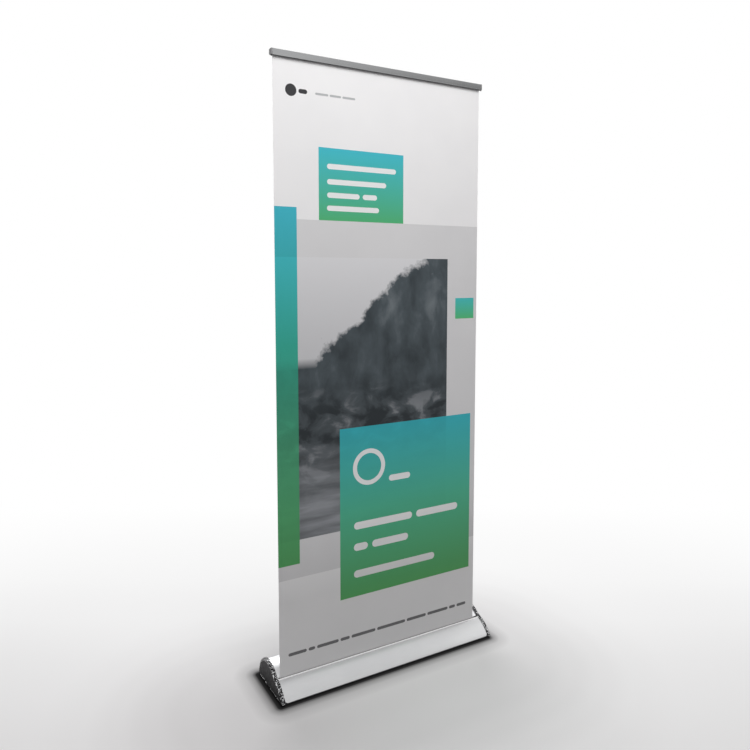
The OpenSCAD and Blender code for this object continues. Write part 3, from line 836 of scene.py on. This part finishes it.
def banner_mesh():
    nx, nz, th = 16, 120, 0.18
    verts, faces = [], []
    for side_y in (-1, 1):
        for k in range(nz + 1):
            for i in range(nx + 1):
                x = BX - 400 + 800 * i / nx
                z = BZ0 + (BZ1 - BZ0) * k / nz
                w = 0.10 * noise.noise(Vector((x / 260.0, 0, z / 420.0)))
                verts.append((x, YB + w + side_y * th, z))
    m = (nx + 1) * (nz + 1)

    def at(sy, i, k):
        return sy * m + k * (nx + 1) + i

    for k in range(nz):
        for i in range(nx):
            faces.append((at(0, i, k), at(0, i + 1, k), at(0, i + 1, k + 1), at(0, i, k + 1)))
            faces.append((at(1, i, k), at(1, i, k + 1), at(1, i + 1, k + 1), at(1, i + 1, k)))
    for k in range(nz):
        faces.append((at(0, 0, k), at(0, 0, k + 1), at(1, 0, k + 1), at(1, 0, k)))
        faces.append((at(0, nx, k), at(1, nx, k), at(1, nx, k + 1), at(0, nx, k + 1)))
    for i in range(nx):
        faces.append((at(0, i, 0), at(1, i, 0), at(1, i + 1, 0), at(0, i + 1, 0)))
        faces.append((at(0, i, nz), at(0, i + 1, nz), at(1, i + 1, nz), at(1, i, nz)))
    return verts, faces


banner = place("banner_print", *banner_mesh(), "print", "top_rail", "film", ["banner_sheet"], 40)
banner.data.materials.append(M["film_back"])
for p in banner.data.polygons:
    if p.normal.y > 0.5:
        p.material_index = 1
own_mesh(banner)

# ------------------------------------------------------------------ top rail

RH = RAIL_H
PH = BANNER / 2 + 2.0


def up(poly):
    return [(y, ZR + z) for y, z in poly]


jaw_out = rounded(up([(-9.85, 2.3), (-9.85, RH), (-3.0, RH), (-3.0, RH - 1.4), (-8.3, RH - 1.4), (-8.3, 1.8), (-3.2, 1.8),
                      (-3.2, 5.5), (-1.9, 5.5), (-1.9, 0.0), (-10.0, 0.0), (-10.0, 1.7)]),
                  [0.25, 1.3, 0.4, 0.3, 0.6, 0.5, 0.4, 0.3, 0.3, 0.3, 0.7, 0.25], 4)
ring_c = [(-5.5 + 3.3 * math.cos(a), 22 + RZ + 3.3 * math.sin(a)) for a in spread(math.radians(62), math.radians(328), 28)]
ring_c += [(-5.5 + 1.65 * math.cos(a), 22 + RZ + 1.65 * math.sin(a)) for a in spread(math.radians(328), math.radians(62), 28)]
jx0, jx1 = BX - PH + 0.3, BX + PH - 0.3
jaw = place("rail_jaw_front", *join(prism_x(jaw_out, jx0, jx1), prism_x(up(ring_c), jx0, jx1)), "rail", "rail_front",
            "rail_aluminium", ["rail_jaw"], 28)
fix_normals(jaw)


def rail_cap(s):
    poly = up([(-10.2, -0.2), (2.8, -0.2), (10.2, 4.4), (10.2, RH + 0.2), (-10.2, RH + 0.2)])
    rings = []
    for x, g in ((BX + s * PH, 0.0), (BX + s * (PH + 3.8), 0.0), (BX + s * (PH + 4.6), 0.35), (BX + s * (PH + 5), 1.1)):
        c = Vector((0.0, ZR + RH / 2))
        pts = rounded(poly, 1.4, 4)
        rings.append([(x, YB + p[0] * (1 - g / 10.2), c.y + (p[1] - c.y) * (1 - g / (RH / 2 + 0.2))) for p in pts])
    return loft(rings, flip=s < 0)


for s, side in ((-1, "left"), (1, "right")):
    fix_normals(place(f"rail_cap_body_{side}", *rail_cap(s), "cap_grey", "top_rail", "rail_cap_grey",
                      [f"rail_cap_{side}"], 35))


def nub(s):
    prof = [(-3.4, 0.05), (-3.4, 1.3), (-3.2, 1.6), (-0.6, 1.95), (-0.2, 2.0), (-0.2, 0.05)]
    return lathe(prof, (BX + s * (PH + 2.5), YB - 6, ZR), (0, 0, 1), 32)


fix_normals(place("rail_nubs", *join(nub(-1), nub(1)), "rubber", "top_rail", "rubber", ["rail_bumpers"], 40))

# ------------------------------------------------------------------ pole

PR, MR, UR = 11.0, 9.0, 7.2


def on_pole(name, profiles, mat, body, slot, gone, n=72, shape=None):
    o = place(name, *join(*[lathe(p, POLE_O, POLE_AX, n, shape) for p in profiles]), mat, body, slot, [gone], 35)
    return fix_normals(o)


on_pole("pole_tube_lower", [tube_profile(4, J1, PR, PR - 1.4)], "tube", "pole_base", "tube_aluminium", "pole_lower")
on_pole("pole_tube_middle", [tube_profile(J1 - 70, J2, MR, MR - 1.2)], "tube", "pole_mid", "tube_aluminium", "pole_middle")
on_pole("pole_tube_upper", [tube_profile(J2 - 70, POLE_LEN - 22, UR, UR - 1.2)], "tube", "pole_top", "tube_aluminium",
        "pole_upper")
on_pole("pole_foot_plug_body", [[(0, 0.05), (0, PR - 0.7), (0.6, PR - 0.1), (4, PR - 0.1), (4, PR - 1.43),
                                 (25, PR - 1.43), (26, PR - 2.4), (26, 0.05)]], "black", "pole_base", "black_plastic",
        "pole_foot_plug")
on_pole("glide_bush_body_middle", [tube_profile(J1 - 70, J1 - 50, PR - 1.45, MR + 0.02, 0.1)], "bush", "pole_mid",
        "bush_plastic", "glide_bush_middle")
on_pole("glide_bush_body_upper", [tube_profile(J2 - 70, J2 - 50, MR - 1.25, UR + 0.02, 0.1)], "bush", "pole_top",
        "bush_plastic", "glide_bush_upper")


def collar(s, r_low, r_high, ro):
    lo, hi = r_low + 0.05, r_high + 0.05
    prof = [(s - 34, lo), (s - 34, ro - 1.6), (s - 33.6, ro - 0.8), (s - 33, ro - 0.25), (s - 32.5, ro)]
    prof += [(s - 32.5 + 46.5 * i / 32, ro) for i in range(1, 33)]
    prof += [(s + 15.5, ro - 0.25), (s + 24.8, ro - 2.6), (s + 25.6, ro - 3.1), (s + 26, ro - 3.6), (s + 26, hi),
             (s + 0.5, hi), (s + 0.3, lo)]

    def flute(t, r, th):
        if r < ro - 0.01 or not s - 29 < t < s + 9:
            return r
        d = abs((th / (math.pi / 6)) % 1 - 0.5) * 2          # 0 in a groove, 1 between two
        depth = max(0.0, 0.72 * (1 - (d / 0.42) ** 2))
        ease = min(1.0, (t - (s - 29)) / 3, ((s + 9) - t) / 3)
        return r - depth * max(0.0, ease)

    return prof, flute


for name, s, a, b, ro, body, gone in (("lock_collar_grip_lower", J1, PR, MR, PR + 4, "collar_low", "lock_collar_lower"),
                                      ("lock_collar_grip_upper", J2, MR, UR, MR + 4, "collar_high", "lock_collar_upper")):
    prof, flute = collar(s, a, b, ro)
    on_pole(name, [prof], "black", body, "black_plastic", gone, 144, flute)

# Head: a turned plug with the flat tongue that the rail's channel drops onto.
tip = POLE_LEN
head = [lathe([(tip - 44, 0.05), (tip - 44, UR - 1.9), (tip - 43.3, UR - 1.23), (tip - 22, UR - 1.23), (tip - 22, UR + 0.3),
               (tip - 21.6, UR + 0.7), (tip + 2.8, UR + 0.7), (tip + 3.7, UR + 0.1), (tip + 4, UR - 0.8), (tip + 4, 0.05)],
              POLE_O, POLE_AX, 72)]


def tongue():
    plan = rounded([(-12, 3.8), (12, 3.8), (12, 13), (7.6, 18.8), (-7.6, 18.8), (-12, 13)], 1.4, 4)
    z0 = ZR + 14 + RZ
    rings = []
    for z, g in ((z0, 0.5), (z0 + 0.2, 0.15), (z0 + 0.6, 0.0), (z0 + 3.4, 0.0), (z0 + 3.8, 0.15), (z0 + 4.0, 0.5)):
        rings.append([(BX + p[0] * (1 - g / 12), YB + 11.3 + (p[1] - 11.3) * (1 - g / 7.5), z) for p in plan])
    return loft(rings)


fix_normals(place("pole_head_hook", *join(*head, tongue()), "black", "pole_top", "black_plastic", ["pole_head"], 35))

# Socket that holds the foot of the pole, and its screws.
sock = lathe([(-1.5, 0.05), (-1.5, 14), (51.6, 14), (52.5, 13.1), (52.5, 11.35), (52.2, 11.05), (0.2, 11.05), (0.0, 0.05)],
             POLE_O, POLE_AX, 72)


def base_plate():
    plan = rounded([(-30, 41), (30, 41), (30, 75), (-30, 75)], 4, 5)
    rings = []
    for z, g in ((6.4, 0.0), (8.8, 0.0), (9.2, 0.2), (9.4, 0.6)):
        rings.append([(BX + p[0] * (1 - g / 30), YB + 58 + (p[1] - 58) * (1 - g / 17), z) for p in plan])
    return loft(rings)


fix_normals(place("pole_socket_body", *join(sock, base_plate()), "black", "base", "tray_metal", ["pole_socket"], 35))


def screw(x, y, z0, z1, r, hr, hh):
    prof = [(z0, 0.05), (z0, r), (z1, r), (z1, hr), (z1 + hh * 0.5, hr), (z1 + hh * 0.85, hr * 0.8), (z1 + hh, hr * 0.45),
            (z1 + hh, 0.9), (z1 + hh * 0.55, 0.8), (z1 + hh * 0.55, 0.05)]
    return lathe(prof, (x, y, 0), (0, 0, 1), 32)


fix_normals(place("socket_screw_set", *join(*[screw(BX + 24 * sx, YB + 58 + 13.5 * sy, 4.4, 9.4, 2.0, 3.4, 2.0)
                                              for sx in (-1, 1) for sy in (-1, 1)]), "steel", "base", "steel",
                  ["socket_screws"], 35))


def cap_screw(s, y, z):
    prof = [(HALF - 2.5, 0.05), (HALF - 2.5, 1.7), (HALF - 2.1, 2.0), (OUT - 5, 2.0), (OUT - 5, 3.8), (OUT - 3.4, 3.8),
            (OUT - 2.8, 3.2), (OUT - 2.8, 1.2), (OUT - 4.0, 1.1), (OUT - 4.0, 0.05)]
    return lathe([(s * a, r) for a, r in prof], (0, YB + y, z), (1, 0, 0), 32)


fix_normals(place("end_cap_screw_set", *join(*[cap_screw(s, y, z) for s in (-1, 1)
                                               for y, z in ((-30, 16), (52, 48), (118, 24))]), "steel", "base", "steel",
                  ["end_cap_screws"], 35))


# ------------------------------------------------------------------ CAD nodes that stay, with their edges softened

def dress(node, mat, width=0.25, angle=32):
    o = NODES[node]
    o.data.materials.clear()
    o.data.materials.append(M[mat])
    w = o.modifiers.new("weld", "WELD")
    w.merge_threshold = 1e-6
    if width:
        b = o.modifiers.new("soft_edges", "BEVEL")
        b.width, b.segments, b.limit_method = width * MM, 2, "ANGLE"
        b.angle_limit = math.radians(angle)
    return o


dress("base_tray", "tray", 0.4)
dress("end_plate_left", "steel", 0.3)
dress("end_plate_right", "steel", 0.3)
dress("pole_bezel", "black", 0.0)
dress("rail_back", "rail", 0.2)
dress("rail_grip_strip", "rubber", 0.15)

# ------------------------------------------------------------------ floor and light

def floor_material():
    """Pale floor: shaded close round the casing, running out into the bright surroundings."""
    t = Tree("pale_floor")
    tc, sep = t.node("ShaderNodeTexCoord"), t.node("ShaderNodeSeparateXYZ")
    t.nt.links.new(tc.outputs["Object"], sep.inputs[0])
    ln = t.node("ShaderNodeVectorMath", operation="LENGTH")
    t.nt.links.new(tc.outputs["Object"], ln.inputs[0])
    depth = t.math("ADD", t.math("MULTIPLY", sep.outputs[0], 0.497), t.math("MULTIPLY", sep.outputs[1], 0.868))
    shade = t.ramp(t.math("MULTIPLY_ADD", depth, 1 / 2.8, 1.2 / 2.8, clamp=True),
                   [(0.0, 0.64), (0.264, 0.60), (0.332, 0.51), (0.414, 0.42), (0.464, 0.35), (0.514, 0.28),
                    (0.579, 0.23), (0.643, 0.165), (0.721, 0.12), (0.914, 0.04), (1.0, 0.0)])
    rim = t.node("ShaderNodeMapRange", interpolation_type="SMOOTHSTEP")
    t.put(rim.inputs["Value"], ln.outputs["Value"])
    rim.inputs["From Min"].default_value, rim.inputs["From Max"].default_value = 1.3, 3.2
    rim.inputs["To Min"].default_value, rim.inputs["To Max"].default_value = 1.0, 0.0
    shade = t.math("MULTIPLY", shade, rim.outputs[0])
    bx = t.math("MAXIMUM", t.math("SUBTRACT", t.math("ABSOLUTE", t.math("ADD", sep.outputs[0], 0.10)), 0.42), 0.0)
    by = t.math("MAXIMUM", t.math("SUBTRACT", t.math("ABSOLUTE", t.math("ADD", sep.outputs[1], 0.12)), 0.10), 0.0)
    blob = t.math("SQRT", t.math("ADD", t.math("MULTIPLY", bx, bx), t.math("MULTIPLY", by, by)))
    blob = t.ramp(blob, [(0.0, 0.40), (0.2, 0.31), (0.3, 0.22), (0.4, 0.12), (0.5, 0.04), (0.65, 0.0)], "EASE")
    far = t.math("SUBTRACT", 1.0, t.math("ADD", shade, blob), clamp=True)
    path = t.node("ShaderNodeLightPath")
    far = t.math("MULTIPLY", far, path.outputs["Is Camera Ray"])
    dx = t.math("MAXIMUM", t.math("SUBTRACT", t.math("ABSOLUTE", t.math("ADD", sep.outputs[0], 0.008)), 0.420), 0.0)
    dy = t.math("MAXIMUM", t.math("SUBTRACT", t.math("ABSOLUTE", sep.outputs[1]), 0.102), 0.0)
    near = t.math("SQRT", t.math("ADD", t.math("MULTIPLY", dx, dx), t.math("MULTIPLY", dy, dy)))
    near = t.ramp(t.math("MULTIPLY", near, 10.0, clamp=True), [(0.0, 0.02), (0.11, 0.05), (0.26, 0.50), (0.48, 0.82), (0.9, 1.0)])
    soft = t.noise(t.coords(), 1.3, 2.0)
    col = t.ramp(soft, [(0.3, (0.748, 0.741, 0.744)), (0.7, (0.768, 0.761, 0.764))])
    col = t.mix(1.0, col, near, "MULTIPLY")
    dif = t.node("ShaderNodeBsdfDiffuse")
    t.put(dif.inputs["Color"], col)
    emi = t.node("ShaderNodeEmission")
    t.put(emi.inputs["Color"], near)
    mx = t.node("ShaderNodeMixShader")
    t.put(mx.inputs[0], far)
    t.nt.links.new(dif.outputs[0], mx.inputs[1])
    t.nt.links.new(emi.outputs[0], mx.inputs[2])
    t.nt.links.new(mx.outputs[0], t.out.inputs[0])
    return t.mat


me = bpy.data.meshes.new("floor")
S = 40.0
me.from_pydata([(-S, -S, 0), (S, -S, 0), (S, S, 0), (-S, S, 0)], [], [(0, 1, 2, 3)])
floor = bpy.data.objects.new("floor", me)
bpy.context.scene.collection.objects.link(floor)
me.materials.append(floor_material())

scene = bpy.context.scene
scene.view_settings.view_transform = "Standard"
world = scene.world or bpy.data.worlds.new("World")
scene.world = world
world.use_nodes = True
wn = world.node_tree
wn.nodes.clear()
wo = wn.nodes.new("ShaderNodeOutputWorld")
bg_seen, bg_light = wn.nodes.new("ShaderNodeBackground"), wn.nodes.new("ShaderNodeBackground")
bg_gloss, gmix = wn.nodes.new("ShaderNodeBackground"), wn.nodes.new("ShaderNodeMixShader")
wmix, lp = wn.nodes.new("ShaderNodeMixShader"), wn.nodes.new("ShaderNodeLightPath")
bg_seen.inputs[0].default_value = (1, 1, 1, 1)
bg_seen.inputs[1].default_value = 1.0
bg_light.inputs[0].default_value = (1.0, 0.975, 0.99, 1)
bg_light.inputs[1].default_value = 0.29
bg_gloss.inputs[0].default_value = (0.99, 0.995, 1.0, 1)


def wmath(op, a, b, c=None, clamp=False):
    n = wn.nodes.new("ShaderNodeMath")
    n.operation, n.use_clamp = op, clamp
    for i, v in enumerate((a, b, c)):
        if isinstance(v, bpy.types.NodeSocket):
            wn.links.new(v, n.inputs[i])
        elif v is not None:
            n.inputs[i].default_value = v
    return n.outputs[0]


# What polished parts mirror: bright behind and above, falling off low down to the front right.
wtc, wsep = wn.nodes.new("ShaderNodeTexCoord"), wn.nodes.new("ShaderNodeSeparateXYZ")
wn.links.new(wtc.outputs["Generated"], wsep.inputs[0])
wx, wy, wz = wsep.outputs[0], wsep.outputs[1], wsep.outputs[2]
low = wmath("MULTIPLY_ADD", wmath("MULTIPLY_ADD", wx, -4.5, 2.5, True), 0.75, 0.12)
up_mix = wmath("MULTIPLY_ADD", wz, 2.8, -0.55, True)
front_g = wmath("MULTIPLY_ADD", wmath("SUBTRACT", 0.72, low), up_mix, low)
back_g = wmath("MULTIPLY", wmath("MULTIPLY_ADD", wy, 3.0, -0.3, True), 0.55)
wn.links.new(wmath("ADD", front_g, back_g), bg_gloss.inputs[1])
wn.links.new(lp.outputs["Is Glossy Ray"], gmix.inputs[0])
wn.links.new(bg_light.outputs[0], gmix.inputs[1])
wn.links.new(bg_gloss.outputs[0], gmix.inputs[2])
wn.links.new(lp.outputs["Is Camera Ray"], wmix.inputs[0])
wn.links.new(gmix.outputs[0], wmix.inputs[1])
wn.links.new(bg_seen.outputs[0], wmix.inputs[2])
wn.links.new(wmix.outputs[0], wo.inputs[0])


def area(name, at, to, size, power, size_y=None, colour=(1, 1, 1)):
    l = bpy.data.lights.new(name, "AREA")
    l.shape = "RECTANGLE"
    l.size, l.size_y = size, size_y or size
    l.energy = power
    l.color = colour
    o = bpy.data.objects.new(name, l)
    scene.collection.objects.link(o)
    o.location = at
    o.rotation_mode = "QUATERNION"
    o.rotation_quaternion = (Vector(to) - Vector(at)).to_track_quat("-Z", "Y")
    return o


key = area("key", (-0.3, -1.75, 3.3), (0.05, 0.0, 1.75), 1.5, 52, colour=(1.0, 0.99, 0.985))
key.visible_glossy = False
panel = area("side", (2.0, -0.95, 1.32), (0.0, -0.95, 1.32), 2.96, 7.5, 2.4)
panel.data.shape = "ELLIPSE"
panel.visible_camera = False
panel.visible_diffuse = False
area("back", (0.6, 2.6, 3.0), (0.0, 0.0, 0.8), 2.0, 40)

# ------------------------------------------------------------------ camera

cam_data = bpy.data.cameras.new("camera")
cam = bpy.data.objects.new("camera", cam_data)
scene.collection.objects.link(cam)
YAW, PITCH, FPX, Y0 = 0.52018, 0.08226, 675.54, 330.0
fwd = Vector((math.sin(YAW) * math.cos(PITCH), math.cos(YAW) * math.cos(PITCH), -math.sin(PITCH)))
cam.location = (-1.19445, -2.04586, 1.38806)
cam.rotation_mode = "QUATERNION"
cam.rotation_quaternion = fwd.to_track_quat("-Z", "Y")
cam_data.sensor_width = 36.0
cam_data.lens = FPX / 750 * 36.0
cam_data.shift_y = (Y0 - 375.0) / 750.0
cam_data.clip_start, cam_data.clip_end = 0.05, 200
scene.camera = cam

bpy.context.view_layer.update()
